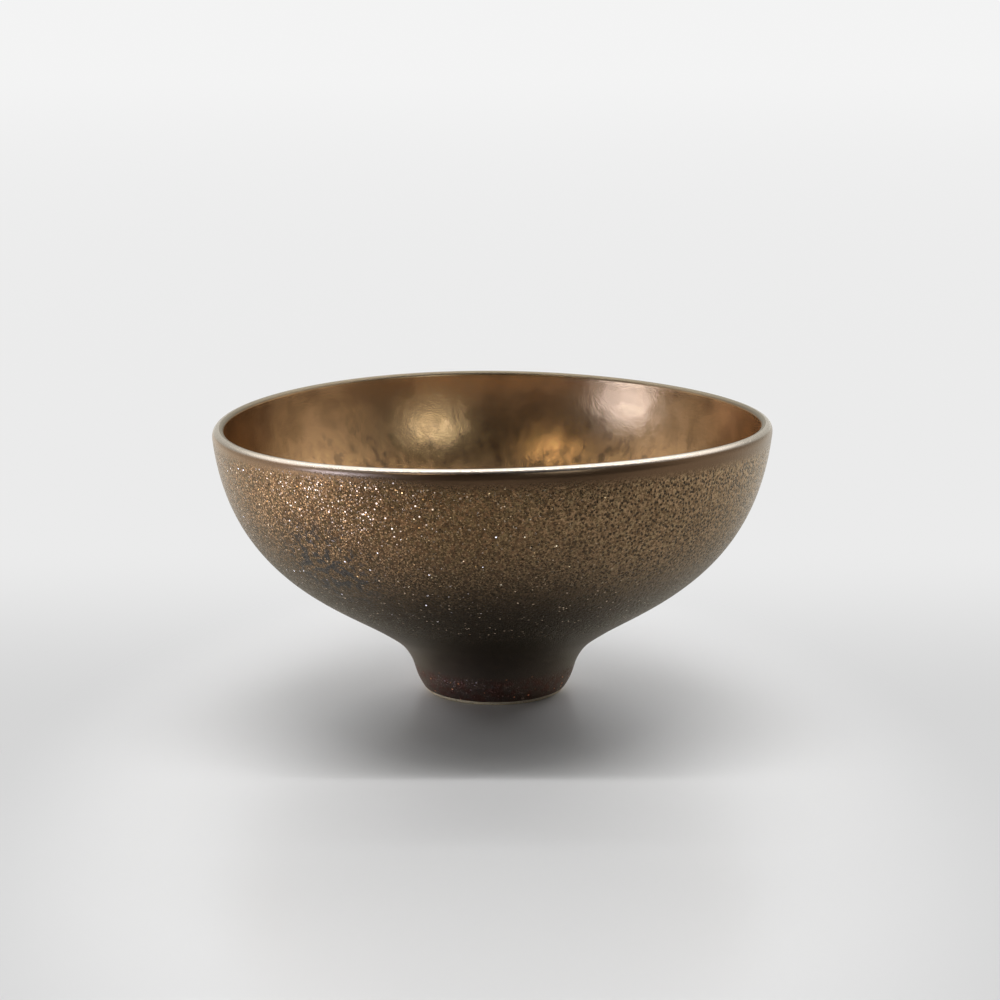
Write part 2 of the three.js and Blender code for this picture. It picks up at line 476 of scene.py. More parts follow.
def lathe_tree():
    """Turns a profile in the XZ plane into a closed surface about Z, warped as the cup is."""
    tree = bpy.data.node_groups.new("turned_piece", "GeometryNodeTree")
    inputs = {"Profile": "NodeSocketGeometry", "Facets": "NodeSocketInt", "Material": "NodeSocketMaterial"}
    inputs.update({name: "NodeSocketFloat" for name in LATHE_SIZES})
    for name, kind in inputs.items():
        tree.interface.new_socket(name, in_out="INPUT", socket_type=kind)
    tree.interface.new_socket("Turned", in_out="OUTPUT", socket_type="NodeSocketGeometry")
    graph = Graph(tree)
    given = graph.add("NodeGroupInput")
    domain = {"component": "MESH"}
    rows = graph.add("GeometryNodeAttributeDomainSize", domain, {0: given["Profile"]})["Point Count"]
    counts = {"Vertices X": given["Facets"] + 1, "Vertices Y": rows}
    grid = graph.add("GeometryNodeMeshGrid", {}, counts)["Mesh"]
    index = graph.add("GeometryNodeInputIndex")["Index"]
    row = graph.add("FunctionNodeIntegerMath", {"operation": "MODULO"}, {0: index, 1: rows})[0]
    column = graph.add("FunctionNodeIntegerMath", {"operation": "DIVIDE_FLOOR"}, {0: index, 1: rows})[0]
    drawn_at = graph.add("GeometryNodeInputPosition")[0]
    sample = graph.add(
        "GeometryNodeSampleIndex",
        {"data_type": "FLOAT_VECTOR"},
        {"Geometry": given["Profile"], "Value": drawn_at, "Index": row},
    )[0]
    profile = graph.add("ShaderNodeSeparateXYZ", {}, {0: sample})
    angle = column * math.tau / given["Facets"]
    place = warp(graph, given, profile["X"], profile["Z"], angle)
    stored = graph.add(
        "GeometryNodeStoreNamedAttribute",
        {"data_type": "FLOAT", "domain": "POINT"},
        {"Geometry": grid, "Name": THROWN_HEIGHT, "Value": profile["Z"]},
    )[0]
    bent = graph.add("GeometryNodeSetPosition", {}, {"Geometry": stored, "Position": place})[0]
    finish_tree(graph, given, bent)
    return tree


lathe = lathe_tree()
print("lathe tree with", len(lathe.nodes), "nodes")

# %% A finished piece from a profile
FACETS = 288


def turned(name, profile, material, line_wander):
    """A plain mesh object, turned from a profile that has its material on its left."""
    line = bpy.data.meshes.new(name + "_profile")
    edges = [(i, i + 1) for i in range(len(profile) - 1)]
    line.from_pydata([(point.x, 0, point.y) for point in profile], edges, [])
    maker = bpy.data.objects.new(name + "_profile", line)
    bpy.context.scene.collection.objects.link(maker)
    modifier = maker.modifiers.new("lathe", "NODES")
    modifier.node_group = lathe
    values = {**LATHE_SIZES, "Line Wander": line_wander, "Facets": FACETS, "Material": material}
    for item in lathe.interface.items_tree:
        if item.name in values:
            modifier[item.identifier] = values[item.name]
    seen = maker.evaluated_get(bpy.context.evaluated_depsgraph_get())
    mesh = bpy.data.meshes.new_from_object(seen)
    bpy.data.objects.remove(maker)
    piece = bpy.data.objects.new(name, mesh)
    bpy.context.scene.collection.objects.link(piece)
    print(name, len(mesh.polygons), "faces")
    return piece


print("each piece is turned in", FACETS, "steps")

# %% [markdown]
# ## Colours and crystals
# The glaze is a saturated iron and manganese one: as it cools, a film of fine metallic crystals
# grows on it. The film is all mirror and no body colour, so what it shows is the floor and the
# lamps, tinted bronze. A painted image could hold its spots, but a procedural pattern on Object
# coordinates has no seam on a round form and stays sharp at any distance. Every finish below is
# made in one way: noises and cells say where something grows, and a Mix node lays its colour there.

# %% Material helpers
def new_material(name):
    material = bpy.data.materials.new(name)
    material.use_nodes = True
    material.node_tree.nodes.clear()
    return material, Graph(material.node_tree)


def vectors(graph, operation, first, second):
    return graph.add("ShaderNodeVectorMath", {"operation": operation}, {0: first, 1: second})


def blend(graph, share, first, second):
    """A colour on the way from the first to the second."""
    return graph.add("ShaderNodeMix", {"data_type": "RGBA"}, {"Factor": share, 6: first, 7: second})[2]


def rgb(red, green, blue):
    return (red, green, blue, 1.0)


EDGE_TINT = rgb(1.0, 0.97, 0.88)


def metal(graph, colour, roughness, relief):
    """A rough metal mirror with a relief in metres."""
    bump = graph.add("ShaderNodeBump", {}, {"Strength": 1.0, "Distance": 1.0, "Height": relief})[0]
    shader = graph.add(
        "ShaderNodeBsdfPrincipled",
        {},
        {
            "Base Color": colour,
            "Metallic": 1.0,
            "Roughness": roughness,
            "Specular Tint": EDGE_TINT,
            "Normal": bump,
        },
    )[0]
    graph.add("ShaderNodeOutputMaterial", {}, {"Surface": shader})


print("material helpers ready")

# %% [markdown]
# ### Crystals that glitter
# Seen close, larger crystals lie on the film like grains of sugar. Each one is flat, so only the few
# that happen to face between the eye and a lamp flash, and their neighbours stay dull. Modelled one
# by one they would be far too many. Here each cell of a random cell pattern gets a flat face. The
# cell's own colour tilts it its own way, all of them lean up a little, and a Bump node turns the
# tilt into shading. No grain lies on these faces, because it would blur the flashes.

# %% Crystals, each in a cell
CRYSTAL_CELL = 0.28 * MM
CRYSTAL_SOLID = 0.44
CRYSTAL_EDGE = 0.55
CRYSTAL_SHARE = 0.8
CRYSTAL_LEAN = 0.47
USUAL_TILT = 0.6
STEEP_TILT = 1.9
STEEP_SHARE = 0.1
GLINT_SHARE = 0.035
CRYSTAL_SOFTNESS = 0.02
STEEP_SOFTNESS = 0.01
GLINT_SOFTNESS = 0.005


def cells(graph, place, size):
    """Round cells of about one size: the distance out, and each cell's colour and middle."""
    return graph.add("ShaderNodeTexVoronoi", {}, {"Vector": place, "Scale": 1 / size})


def drawn(chance, share, softness):
    """1 in the cells whose chance lies in the top share of all of them."""
    return between(chance, 1 - share, 1 - share + softness)


def crystals(graph, place):
    """Where crystals grow, the height of their tilted faces, and which few of them glint."""
    cell = cells(graph, place, CRYSTAL_CELL)
    chance = graph.add("ShaderNodeSeparateColor", {}, {0: cell["Color"]})["Green"]
    offset = vectors(graph, "SUBTRACT", place, cell["Position"])["Vector"]
    # A cell's random colour, less its mean, is a random way for its face to rise.
    way = vectors(graph, "SUBTRACT", cell["Color"], (0.5, 0.5, 0.5 + CRYSTAL_LEAN))["Vector"]
    tilt = drawn(chance, STEEP_SHARE, STEEP_SOFTNESS) * (STEEP_TILT - USUAL_TILT) + USUAL_TILT
    face = vectors(graph, "DOT_PRODUCT", offset, way)["Value"] * tilt
    inside = between(cell["Distance"], CRYSTAL_EDGE, CRYSTAL_SOLID)
    grown = drawn(chance, CRYSTAL_SHARE, CRYSTAL_SOFTNESS) * inside
    glint = drawn(chance, GLINT_SHARE, GLINT_SOFTNESS) * inside
    return grown, face * grown, glint


print("crystals on", round(CRYSTAL_SHARE * 100), "% of the cells")

# %% [markdown]
# ## The outer glaze
# The fire and the potter's sponge treat the outside unevenly, and most of it follows height. The
# edge of the foot is wiped, reddish and specked with copper. Over it come a smooth dark neck, a
# grained wall that grows brighter as it rises, a smooth band where the glaze ran thin, and a worn
# line on the crest. The dark low down is partly the film's own colour and partly painted shade, for
# the shadowed floor that the lower wall mirrors. Across the cup, the left is coppery and full of
# crystals, and the right is paler with small pits. The brighter copper at the left, in the crystals
# and in the band under the lip, is partly painted highlight where the cool lamp's sparkle and glow
# fall, and the band's darker middle is partly painted shade. Separate materials would leave hard
# borders. So one material has a mask for each of these, from 0 to 1 with a soft step, and lays its
# colours over one another through the masks.

# %% Stretches of the outside
LIP_FROM = CUP_HEIGHT - 0.6 * MM
LIP_FULL = CUP_HEIGHT - 0.25 * MM
BAND_FROM = CUP_HEIGHT - 2.4 * MM
BAND_FULL = CUP_HEIGHT - 0.8 * MM
BAND_WIDER = 0.9 * MM
# The colours brighten from here up. Below, their darker tone is partly painted shade.
BRIGHT_FROM = 17.0 * MM
BRIGHT_FULL = 35.0 * MM
BRIGHT_FULL_RIGHT = 30.0 * MM
GRAINED_FROM = 10.0 * MM
GRAINED_FULL = 15.0 * MM
FOOT_FROM = 2 * FOOT_HEIGHT
WIPED_FROM = 5.0 * MM
WIPED_FULL = 3.4 * MM
MIDDLE_FROM = -16 * MM
MIDDLE_FULL = -4 * MM
RIGHT_FROM = -6 * MM
RIGHT_FULL = 22 * MM
LEFT_EDGE_FROM = -29 * MM
LEFT_EDGE_FULL = -38 * MM
PATCH_MIDDLE = (-22 * MM, -28 * MM, 24.5 * MM)
PATCH_FROM = 11 * MM
PATCH_FULL = 3.3 * MM


def stretches(graph, place):
    """A mask for each stretch of the outside. Heights are as thrown, and sides are along X."""
    height = graph.add("ShaderNodeAttribute", {"attribute_name": THROWN_HEIGHT})["Fac"]
    aside = graph.add("ShaderNodeSeparateXYZ", {}, {0: place})["X"]
    from_patch = vectors(graph, "DISTANCE", place, PATCH_MIDDLE)["Value"]
    at = SimpleNamespace()
    at.lip = between(height, LIP_FROM, LIP_FULL)
    at.bright = between(height, BRIGHT_FROM, BRIGHT_FULL)
    at.bright_right = between(height, BRIGHT_FROM, BRIGHT_FULL_RIGHT)
    at.foot = between(height, FOOT_FROM, FOOT_HEIGHT)
    at.wiped = between(height, WIPED_FROM, WIPED_FULL)
    at.middle = between(aside, MIDDLE_FROM, MIDDLE_FULL)
    at.right = between(aside, RIGHT_FROM, RIGHT_FULL)
    at.left_edge = between(aside, LEFT_EDGE_FROM, LEFT_EDGE_FULL)
    at.patch = between(from_patch, PATCH_FROM, PATCH_FULL)
    at.band = between(height + at.middle * BAND_WIDER, BAND_FROM, BAND_FULL)
    at.grained = between(height, GRAINED_FROM, GRAINED_FULL) * (1 - at.band)
    return at


print("the grained wall starts at", round(GRAINED_FROM / MM), "mm")

# %% What grows on each stretch
GLITTER_LOST_RIGHT = 0.75
GLITTER_LOST_AT_EDGE = 0.5
LOW_GLINT = 0.5
PIT_SPACING = 0.5 * MM
PIT_STEP = (0.5, 0.25)
BLOT_SIZE = 1.2 * MM
SPECK_SPACING = 1.1 * MM
SPECK_STEP = (0.17, 0.1)


def growth(graph, place, at):
    """Adds masks for the crystals, pits, blots and specks to those of the stretches."""
    at.crystals, at.face, glint = crystals(graph, place)
    # Glints and crystals thin out towards the right, and glints weaken low down. This is partly painted
    # light: the lamp's sparkle falls at the left, and the low wall lies in shade.
    at.glint = glint * at.grained * (1 - at.right * at.bright) * (at.bright * (1 - LOW_GLINT) + LOW_GLINT)
    at.glitter = at.grained * (1 - at.right * GLITTER_LOST_RIGHT)
    at.glitter = at.glitter * (1 - at.left_edge * GLITTER_LOST_AT_EDGE)
    at.pits = between(cells(graph, place, PIT_SPACING)["Distance"], *PIT_STEP) * at.grained
    at.specks = between(cells(graph, place, SPECK_SPACING)["Distance"], *SPECK_STEP) * at.wiped
    at.blots = noise(graph, place, BLOT_SIZE, detail=2)


print("pits every", round(PIT_SPACING / MM, 1), "mm")

# %% The film on the wall and the neck
MOTTLE_SIZE = 0.42 * MM
MOTTLE_STEP = (0.62, 0.4)
MOTTLE_COVER = 0.85
HUE_SIZE = 2 * MOTTLE_SIZE
HUE_STEP = (0.4, 0.6)
CLOUD_SIZE = 2.5 * MM
CLOUD_STEP = (0.3, 0.7)
CLOUD_COVER = 0.3
PALE_COVER = 0.5
OLIVE_BRONZE = rgb(0.225, 0.152, 0.07)
RED_BRONZE = rgb(0.26, 0.142, 0.07)
PALE_BRONZE = rgb(0.42, 0.3, 0.175)
CLOUD_BRONZE = rgb(0.15, 0.085, 0.042)
MOTTLE_BRONZE = rgb(0.1, 0.057, 0.028)
# The neck's colour is darker than the wall's partly as painted shade, for the shadowed floor it mirrors.
NECK_FILM_AND_SHADE = rgb(0.075, 0.058, 0.042)
FOOT_FILM_LEFT = rgb(0.15, 0.119, 0.093)
FOOT_FILM_RIGHT = rgb(0.085, 0.07, 0.054)


def wall_film(graph, place, at):
    """Bronze in two hues, paler towards the right, with soft clouds and fine mottles."""
    hue = noise(graph, place, HUE_SIZE, detail=1)
    cloud = noise(graph, place, CLOUD_SIZE, detail=3)
    mottle = noise(graph, place, MOTTLE_SIZE, detail=2)
    film = blend(graph, between(hue, *HUE_STEP), OLIVE_BRONZE, RED_BRONZE)
    film = blend(graph, at.right * PALE_COVER, film, PALE_BRONZE)
    film = blend(graph, between(cloud, *CLOUD_STEP) * CLOUD_COVER, film, CLOUD_BRONZE)
    return blend(graph, between(mottle, *MOTTLE_STEP) * MOTTLE_COVER, film, MOTTLE_BRONZE)


def neck_film_and_shade(graph, at):
    """The dark colour low on the cup, partly a thin film and partly painted shade, paler on the foot and
    palest at its left.
    """
    foot = blend(graph, at.right, FOOT_FILM_LEFT, FOOT_FILM_RIGHT)
    return blend(graph, at.foot, NECK_FILM_AND_SHADE, foot)


def whole_film(graph, place, at):
    """Dark at the neck, partly as painted shade, and full bronze on the wall, which at the right begins
    lower.
    """
    risen = at.bright.at_least(at.right * at.bright_right)
    return blend(graph, risen, neck_film_and_shade(graph, at), wall_film(graph, place, at))


print("mottles of", round(MOTTLE_SIZE / MM, 2), "mm")

# %% The colours of what grows on the film
# The copper crystals at the left are brighter partly as painted highlight, where the cool lamp's sparkles
# fall.
COPPER_CRYSTAL_AND_SPARKLE = rgb(0.48, 0.285, 0.15)
BROWN_CRYSTAL = rgb(0.32, 0.2, 0.1)
# Low down the crystals are darker, partly as painted shade.
LOW_CRYSTAL_AND_SHADE = rgb(0.1, 0.075, 0.05)
GLINT = rgb(0.62, 0.47, 0.33)
PIT = rgb(0.04, 0.028, 0.018)
PITS_LEFT = 0.35
PITS_RIGHT = 0.95
BLUE_BLOT = rgb(0.05, 0.052, 0.056)
BLUE_STEP = (0.48, 0.58)
BLUE_COVER = 0.8


def with_growth(graph, at, film):
    """Crystals, pits, the bluish blots of the patch at the left, and the glints on top."""
    # The crystals at the left are brighter partly as painted highlight.
    crystal = blend(graph, at.middle, COPPER_CRYSTAL_AND_SPARKLE, BROWN_CRYSTAL)
    # Lower down the crystals darken, partly as painted shade.
    crystal = blend(graph, at.bright, LOW_CRYSTAL_AND_SHADE, crystal)
    colour = blend(graph, at.crystals * at.glitter, film, crystal)
    colour = blend(graph, at.pits * (at.right * (PITS_RIGHT - PITS_LEFT) + PITS_LEFT), colour, PIT)
    blue = between(at.blots, *BLUE_STEP) * at.patch * BLUE_COVER
    return blend(graph, at.glint, blend(graph, blue, colour, BLUE_BLOT), GLINT)


print("pits cover from", PITS_LEFT, "of the film at the left to", PITS_RIGHT, "at the right")

# %% The colours of the band, the foot's edge and the crest
# The band under the lip is copper at the left partly as painted highlight, the cool lamp's glow, and dark
# brown in the middle partly as painted shade, for the dark front it mirrors.
COPPER_BAND_AND_LAMP_GLOW = rgb(0.24, 0.15, 0.088)
BROWN_BAND_AND_SHADE = rgb(0.125, 0.075, 0.042)
WIPED_LEFT = rgb(0.15, 0.077, 0.058)
WIPED_RIGHT = rgb(0.08, 0.045, 0.034)
WIPED_STEP = (0.45, 0.6)
WIPED_LEAST = 0.4
COPPER_SPECK = rgb(1.0, 0.45, 0.22)
SPECKED_STEP = (0.42, 0.5)
WORN_LINE = rgb(0.32, 0.28, 0.24)


def with_edges(graph, at, colour):
    """The thin band, partly painted glow and shade, the foot's wiped and speckled edge, and the worn crest
    over them.
    """
    # The band's copper at the left and its dark middle are partly painted light and shade.
    band = blend(graph, at.middle, COPPER_BAND_AND_LAMP_GLOW, BROWN_BAND_AND_SHADE)
    wiped = blend(graph, at.right, WIPED_LEFT, WIPED_RIGHT)
    wiped_share = (between(at.blots, *WIPED_STEP) * (1 - WIPED_LEAST) + WIPED_LEAST) * at.wiped
    colour = blend(graph, at.band, colour, band)
    colour = blend(graph, wiped_share, colour, wiped)
    colour = blend(graph, at.specks * between(at.blots, *SPECKED_STEP), colour, COPPER_SPECK)
    return blend(graph, at.lip, colour, WORN_LINE)


print("films and edges ready")

# %% Relief and gloss of the outside
GRAIN_SIZE = 0.22 * MM
NECK_GRAIN = 0.01 * MM
WALL_GRAIN = 0.04 * MM
PIT_DEPTH = 0.03 * MM
RIPPLE_SIZE = 7.0 * MM
RIPPLE_HEIGHT = 0.05 * MM
NECK_ROUGHNESS = 0.48
SMOOTHER_WALL = 0.2
SMOOTHER_CRYSTAL = 0.15
SMOOTHER_LIP = 0.08


def outside_relief(graph, place, at):
    """Grain between the crystals, pits, the crystals' faces, and the slow ripple of throwing."""
    grain = noise(graph, place, GRAIN_SIZE, detail=1) * (at.grained * WALL_GRAIN + NECK_GRAIN)
    ripple = noise(graph, place, RIPPLE_SIZE) * RIPPLE_HEIGHT
    return grain * (1 - at.crystals) - at.pits * PIT_DEPTH + ripple + at.face * (at.glitter + at.wiped)


def outside_roughness(at):
    smooth_crystals = at.crystals * at.grained + at.glint * (1 - at.bright)
    smoother = at.bright * SMOOTHER_WALL + smooth_crystals * SMOOTHER_CRYSTAL + at.lip * SMOOTHER_LIP
    return NECK_ROUGHNESS - smoother


def outer_glaze(name):
    material, graph = new_material(name)
    place = graph.add("ShaderNodeTexCoord")["Object"]
    at = stretches(graph, place)
    growth(graph, place, at)
    colour = with_edges(graph, at, with_growth(graph, at, whole_film(graph, place, at)))
    metal(graph, colour, outside_roughness(at), outside_relief(graph, place, at))
    return material


outer_bronze = outer_glaze("outer_bronze")
print("outer glaze with", len(outer_bronze.node_tree.nodes), "nodes")

# %% [markdown]
# ## The inner glaze
# Inside, the glaze lay thicker and ran down, so its film is smooth and golden, with soft mottles
# drawn out along the way down. It is more of a mirror than the outside, and the spots of light in it
# are the lamps. The mottles are the same kind of noise. Its coordinates are squeezed in height,
# which makes its spots longer.

# %% Inner glaze
RUN_DOWN = (1.0, 1.0, 0.6)
INSIDE_CLOUD_SIZE = 5 * MM
INSIDE_CLOUD_STEP = (0.35, 0.65)
INSIDE_MOTTLE_SIZE = 1.8 * MM
LIGHT_MOTTLE_STEP = (0.45, 0.65)
DARK_MOTTLE_STEP = (0.45, 0.35)
DARK_MOTTLE_COVER = 0.6
MOTTLED_FROM = 36 * MM
MOTTLED_FULL = 26 * MM
DARK_GOLD = rgb(0.31, 0.18, 0.085)
LIGHT_GOLD = rgb(0.42, 0.25, 0.12)
LIGHT_MOTTLE = rgb(0.46, 0.28, 0.13)
DARK_MOTTLE = rgb(0.12, 0.075, 0.045)
# The inner crest's dark colour is painted shade. It keeps the mirrored highlight line off the far lip.
INSIDE_CREST_SHADE = rgb(0.1, 0.08, 0.055)
INSIDE_MOTTLE_HEIGHT = 0.04 * MM
INSIDE_GRAIN = 0.02 * MM
INSIDE_ROUGHNESS = 0.27
ROUGHER_CREST = 0.1


def inner_glaze(name):
    material, graph = new_material(name)
    place = graph.add("ShaderNodeTexCoord")["Object"]
    height = graph.add("ShaderNodeAttribute", {"attribute_name": THROWN_HEIGHT})["Fac"]
    at_lip = between(height, LIP_FROM, LIP_FULL)
    mottled = between(height, MOTTLED_FROM, MOTTLED_FULL)
    cloud = noise(graph, place, INSIDE_CLOUD_SIZE, detail=3)
    run_down = vectors(graph, "MULTIPLY", place, RUN_DOWN)["Vector"]
    mottle = noise(graph, run_down, INSIDE_MOTTLE_SIZE, detail=2)
    dark = between(mottle, *DARK_MOTTLE_STEP) * mottled * DARK_MOTTLE_COVER
    colour = blend(graph, between(cloud, *INSIDE_CLOUD_STEP), DARK_GOLD, LIGHT_GOLD)
    colour = blend(graph, between(mottle, *LIGHT_MOTTLE_STEP) * mottled, colour, LIGHT_MOTTLE)
    colour = blend(graph, dark, colour, DARK_MOTTLE)
    # The crest is darkened as painted shade, so the far lip shows no bright line.
    colour = blend(graph, at_lip, colour, INSIDE_CREST_SHADE)
    grain = noise(graph, place, GRAIN_SIZE, detail=1) * INSIDE_GRAIN
    ripple = noise(graph, place, RIPPLE_SIZE) * RIPPLE_HEIGHT
    relief = mottle * INSIDE_MOTTLE_HEIGHT + grain + ripple
    metal(graph, colour, at_lip * ROUGHER_CREST + INSIDE_ROUGHNESS, relief)
    return material


inner_gold = inner_glaze("inner_gold")
print("inner glaze with", len(inner_gold.node_tree.nodes), "nodes")

# %% [markdown]
# ## The bare clay
# Only the ground edge of the foot is left bare, because glaze would stick it to the kiln's shelf.
# It is matt buff stoneware with a fine grit and a few iron specks. Clay has no mirror that would
# give a simple finish away, so one noise for its grit, in colour and as a weak bump, is enough.

# %% Bare clay
GRIT_SIZE = 0.35 * MM
GRIT_HEIGHT = 0.1 * MM
GRIT_STRENGTH = 0.5
IRON_SPECK_SIZE = 0.5 * MM
IRON_SPECK_STEP = (0.62, 0.7)
IRON_SPECK_COVER = 0.6
DARK_CLAY = rgb(0.57, 0.47, 0.32)
PALE_CLAY = rgb(0.8, 0.7, 0.53)
IRON_SPECK = rgb(0.2, 0.13, 0.07)
CLAY_ROUGHNESS = 0.85


def bare_clay(name):
    material, graph = new_material(name)
    place = graph.add("ShaderNodeTexCoord")["Object"]
    grit = noise(graph, place, GRIT_SIZE, detail=4)
    specks = between(noise(graph, place, IRON_SPECK_SIZE), *IRON_SPECK_STEP) * IRON_SPECK_COVER
    colour = blend(graph, specks, blend(graph, grit, DARK_CLAY, PALE_CLAY), IRON_SPECK)
    bump = graph.add(
        "ShaderNodeBump", {}, {"Strength": GRIT_STRENGTH, "Distance": GRIT_HEIGHT, "Height": grit}
    )[0]
    shader = graph.add(
        "ShaderNodeBsdfPrincipled", {}, {"Base Color": colour, "Roughness": CLAY_ROUGHNESS, "Normal": bump}
    )[0]
    graph.add("ShaderNodeOutputMaterial", {}, {"Surface": shader})
    return material


clay = bare_clay("bare_clay")
print("clay with", len(clay.node_tree.nodes), "nodes")

# %% [markdown]
# ## The five pieces
# Each piece is one closed profile. The clay bowl lies between the coats, the ring carries it, and
# each coat is the surface's curve going one way and the same curve, a glaze's thickness deeper,
# coming back. A Solidify modifier could give a coat its thickness too, but not the ends that meet
# flush at the crest. Where a coat ends on the clay, the fire has drawn its edge round.

# %% Profiles of the clay
END_STEPS = 8
well_mouth = Vector((foot_curve.under(0, CLAY_DEPTH).x - RING_THICKNESS, WELL_GLAZE_LINE))
well_ceiling = Vector((well_mouth.x - WELL_TAPER, FOOT_HEIGHT))


def closed(points):
    return points + points[:1]


def bowl_profile():
    under_bowl = [Vector((0, FOOT_HEIGHT)), joint_corner(CLAY_DEPTH)]
    return under_bowl + outside_at(CLAY_DEPTH) + inside_at(CLAY_DEPTH)[1:]


def ring_profile():
    """From the resting face round the outer edge, up the side, and down through the well."""
    side = foot_at(CLAY_DEPTH)
    outer_edge = Vector((side[0].x - FOOT_EDGE, FOOT_EDGE))
    inner_edge = Vector((well_mouth.x + FOOT_EDGE, FOOT_EDGE))
    return closed(
        [Vector((outer_edge.x, 0))]
        + arc(outer_edge, FOOT_EDGE, -90, 0, END_STEPS)
        + side
        + [well_ceiling, well_mouth, Vector((well_mouth.x, FOOT_EDGE))]
        + arc(inner_edge, FOOT_EDGE, 180, 270, END_STEPS)
    )


print("the well is", round(2 * well_mouth.x / MM, 1), "mm across at its mouth")


# %% Profiles of the coats
def outer_profile():
    face = foot_at(0) + outside_at(0)
    back = foot_at(GLAZE_THICKNESS) + outside_at(GLAZE_THICKNESS)
    return closed(face + back[::-1] + round_end(back[0], face[0], END_STEPS))


def inner_profile():
    return inside_at(GLAZE_THICKNESS)[::-1] + inside_at(0)


def well_wall(depth):
    ceiling = Vector((well_ceiling.x - depth, well_ceiling.y - depth))
    return [ceiling, Vector((well_mouth.x - depth, well_mouth.y))]


def well_profile():
    face = well_wall(CLAY_DEPTH)
    back = well_wall(FUSED_GAP)
    edge = round_end(face[1], back[1], END_STEPS)
    return [Vector((0, face[0].y))] + face + edge + back[::-1] + [Vector((0, back[0].y))]


print("profiles have", len(outer_profile()), "points at most")

# %% Make the pieces and set them on the frame
BODY = "root"
makers = {
    "thrown_bowl": (bowl_profile(), clay, "bare_clay", 0.0),
    "foot_ring": (ring_profile(), clay, "bare_clay", 0.0),
    "outer_glaze": (outer_profile(), outer_bronze, "outer_glaze", LINE_WANDER),
    "inner_glaze": (inner_profile(), inner_gold, "inner_glaze", 0.0),
    "foot_well_glaze": (well_profile(), outer_bronze, "foot_well_glaze", 0.0),
}
for node, (profile, material, slot, line_wander) in makers.items():
    piece = turned("fine_" + node, profile, material, line_wander)
    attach(piece, BODY)
    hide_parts(node)
print("pieces on the frame:", len(makers))

# %% [markdown]
# ## The floor
# Small pottery is often shown in a white tent, and a metal glaze shows the tent again. So the floor
# does two jobs. Near the cup it is a plain matt white with a faint gloss, which the lamps light and
# the cup shades. Further out it goes over into the tent's own white, for the camera and for what
# the metal mirrors. The tent's open front is dark in the metal, and its sides and one gleam at the
# left are bright. The gleam is a painted sheen of the cool lamp on the floor, and the brighter sides
# are a painted reflection. Both glow only for mirrored rays. Light Path tells the mirrored rays from
# the others, so that the floor itself stays plain. A floor that is lit all over would need far more
# lamps for the same picture.

# %% The floor's whites
FLOOR_SIZE = 20.0
FLOOR_GREY = 0.8
FLOOR_GLOSS = 0.09
GLOSS_BLUR = 0.25
LIT_MIDDLE = (0.0, -60 * MM)
LIT_SIZE = (52 * MM, 100 * MM)
LIT_EDGE = (0.7, 1.3)
FRONT_WHITE = 0.67
MIDDLE_WHITE = 0.83
FAR_WHITE = 0.9
MIDDLE_STEP = (-20 * MM, 90 * MM)
FAR_STEP = (90 * MM, 2.0)
OPEN_FRONT = 0.15
OPEN_FRONT_STEP = (-88 * MM, -135 * MM)
# The sides and the gleam are painted reflection. The sides glow brighter, and the gleam is the cool lamp's
# sheen on the floor, for mirrored rays only.
SIDES = 0.35
SIDES_STEP = (60 * MM, 150 * MM)
GLEAM = 1.4
GLEAM_MIDDLE = (-170 * MM, -60 * MM)
GLEAM_SIZE = (110 * MM, 110 * MM)
GLEAM_EDGE = (1.0, 0.2)


def from_spot(place, middle, size, edge):
    """A mask by the distance from a spot on the floor, in shares of the spot's size."""
    aside = (place["X"] - middle[0]) / size[0]
    ahead = (place["Y"] - middle[1]) / size[1]
    squares = aside * aside + ahead * ahead
    return between(squares.maths("SQRT", squares), *edge)


def tent_white(place, mirrored):
    """The tent's white on the floor, from front to back, with what only the metal sees."""
    white = between(place["Y"], *MIDDLE_STEP) * (MIDDLE_WHITE - FRONT_WHITE) + FRONT_WHITE
    white = white + between(place["Y"], *FAR_STEP) * (FAR_WHITE - MIDDLE_WHITE)
    gleam = from_spot(place, GLEAM_MIDDLE, GLEAM_SIZE, GLEAM_EDGE)
    sides = between(abs(place["X"]), *SIDES_STEP)
    return white + (gleam * GLEAM + sides * SIDES) * mirrored


print("the floor's white goes from", FRONT_WHITE, "to", FAR_WHITE)


# %% The floor's material
def seen_by(ray):
    """1 for what the camera sees, straight, in a mirror or through glass."""
    return (ray["Is Camera Ray"] + ray["Is Glossy Ray"] + ray["Is Transmission Ray"]).at_most(1)


def glow(graph, strength):
    return graph.add("ShaderNodeEmission", {}, {"Color": rgb(1, 1, 1), "Strength": strength})[0]


def mix_shaders(graph, share, first, second):
    return graph.add("ShaderNodeMixShader", {}, {0: share, 1: first, 2: second})[0]


def pale_floor():
    material, graph = new_material("pale_floor")
    place = graph.add("ShaderNodeSeparateXYZ", {}, {0: graph.add("ShaderNodeTexCoord")["Object"]})
    ray = graph.add("ShaderNodeLightPath")
    mirrored = ray["Is Glossy Ray"]
    far = from_spot(place, LIT_MIDDLE, LIT_SIZE, LIT_EDGE)
    front = between(place["Y"], *OPEN_FRONT_STEP) * mirrored
    grey = rgb(FLOOR_GREY, FLOOR_GREY, FLOOR_GREY)
    matt = graph.add("ShaderNodeBsdfDiffuse", {}, {"Color": grey})[0]
    gloss = graph.add("ShaderNodeBsdfGlossy", {}, {"Color": rgb(1, 1, 1), "Roughness": GLOSS_BLUR})[0]
    lit = mix_shaders(graph, FLOOR_GLOSS, matt, gloss)
    tent = mix_shaders(graph, front, glow(graph, tent_white(place, mirrored)), glow(graph, OPEN_FRONT))
    shader = mix_shaders(graph, far * seen_by(ray), lit, tent)
    graph.add("ShaderNodeOutputMaterial", {}, {"Surface": shader})
    return material


print("the lit floor is", round(2 * LIT_SIZE[0] / MM), "mm wide")


